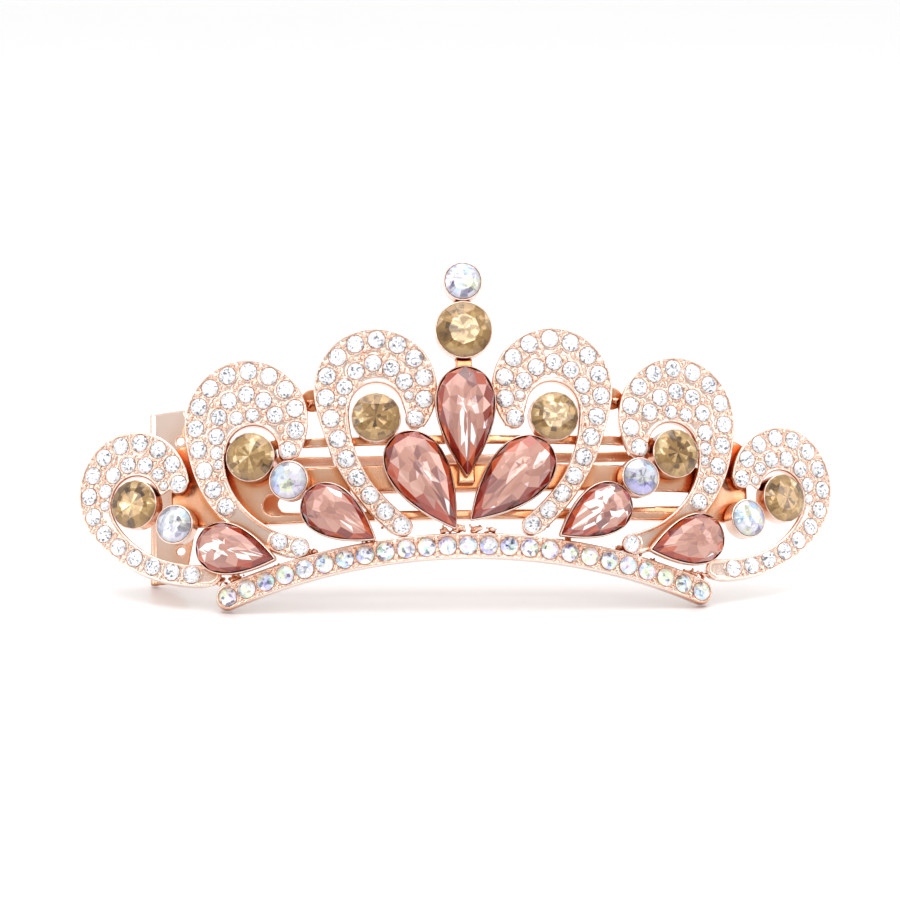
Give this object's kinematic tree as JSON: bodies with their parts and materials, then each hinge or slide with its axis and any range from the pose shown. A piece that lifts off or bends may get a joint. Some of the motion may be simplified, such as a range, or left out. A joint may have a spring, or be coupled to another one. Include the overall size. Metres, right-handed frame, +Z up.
{
  "type": "rhinestone hair clip",
  "caption": "Curved crown-shaped hair ornament of stone-set scrolls, cupped round and pear stones and an arched stone band, on a sprung two-jaw metal clip.",
  "frame": {"origin": "centre of the bounding box's footprint on the surface the clip stands on", "axes": "+X along the crown to the viewer's right, +Y back towards the hair, +Z up; the crown leans back as it stands"},
  "size_m": [0.1004, 0.028, 0.0445],
  "materials": {
    "rose_metal": "polished rose-gold plating",
    "clip_metal": "rose-gold plated spring steel sheet",
    "spring_steel": "bright drawn wire",
    "clear_stone": "cut, foil backed",
    "champagne_stone": "cut, foil backed",
    "iridescent_stone": "cut, iridescent coating",
    "peach_stone": "cut, foil backed"
  },
  "bodies": {
    "crown": {"upper_jaw": "clip_metal", "hinge_pin": "clip_metal", "torsion_spring": "spring_steel", "crown_band": "rose_metal", "band_stones": "iridescent_stone", "finial_post": "rose_metal", "scroll_links": "rose_metal", "scroll_left_outer": "rose_metal", "pave_left_outer": "clear_stone", "scroll_left_middle": "rose_metal", "pave_left_middle": "clear_stone", "scroll_left_inner": "rose_metal", "pave_left_inner": "clear_stone", "scroll_right_outer": "rose_metal", "pave_right_outer": "clear_stone", "scroll_right_middle": "rose_metal", "pave_right_middle": "clear_stone", "scroll_right_inner": "rose_metal", "pave_right_inner": "clear_stone", "round_cup_left_outer": "rose_metal", "round_stone_left_outer": "champagne_stone", "round_cup_left_middle": "rose_metal", "round_stone_left_middle": "champagne_stone", "round_cup_left_inner": "rose_metal", "round_stone_left_inner": "champagne_stone", "round_cup_right_outer": "rose_metal", "round_stone_right_outer": "champagne_stone", "round_cup_right_middle": "rose_metal", "round_stone_right_middle": "champagne_stone", "round_cup_right_inner": "rose_metal", "round_stone_right_inner": "champagne_stone", "round_cup_top": "rose_metal", "round_stone_top": "champagne_stone", "aurora_cup_left_outer": "rose_metal", "aurora_stone_left_outer": "iridescent_stone", "aurora_cup_left_middle": "rose_metal", "aurora_stone_left_middle": "iridescent_stone", "aurora_cup_right_outer": "rose_metal", "aurora_stone_right_outer": "iridescent_stone", "aurora_cup_right_middle": "rose_metal", "aurora_stone_right_middle": "iridescent_stone", "aurora_cup_top": "rose_metal", "aurora_stone_top": "iridescent_stone", "pear_setting_left_outer": "rose_metal", "pear_stone_left_outer": "peach_stone", "pear_setting_left_middle": "rose_metal", "pear_stone_left_middle": "peach_stone", "pear_setting_left_front": "rose_metal", "pear_stone_left_front": "peach_stone", "pear_setting_top": "rose_metal", "pear_stone_top": "peach_stone", "pear_setting_right_front": "rose_metal", "pear_stone_right_front": "peach_stone", "pear_setting_right_middle": "rose_metal", "pear_stone_right_middle": "peach_stone", "pear_setting_right_outer": "rose_metal", "pear_stone_right_outer": "peach_stone"},
    "lower_jaw": {"lower_jaw": "clip_metal"}
  },
  "joints": [
    {"name": "jaw_open", "type": "hinge", "parent": "crown", "child": "lower_jaw", "pos_m": [-0.03226, 0.00028, 0.01441], "axis": [0, 0.3299, 0.944], "range_deg": [0, 35], "stiffness_Nm_per_rad": 0.15, "springref_deg": -22.92, "deforming": ["torsion_spring"]}
  ]
}
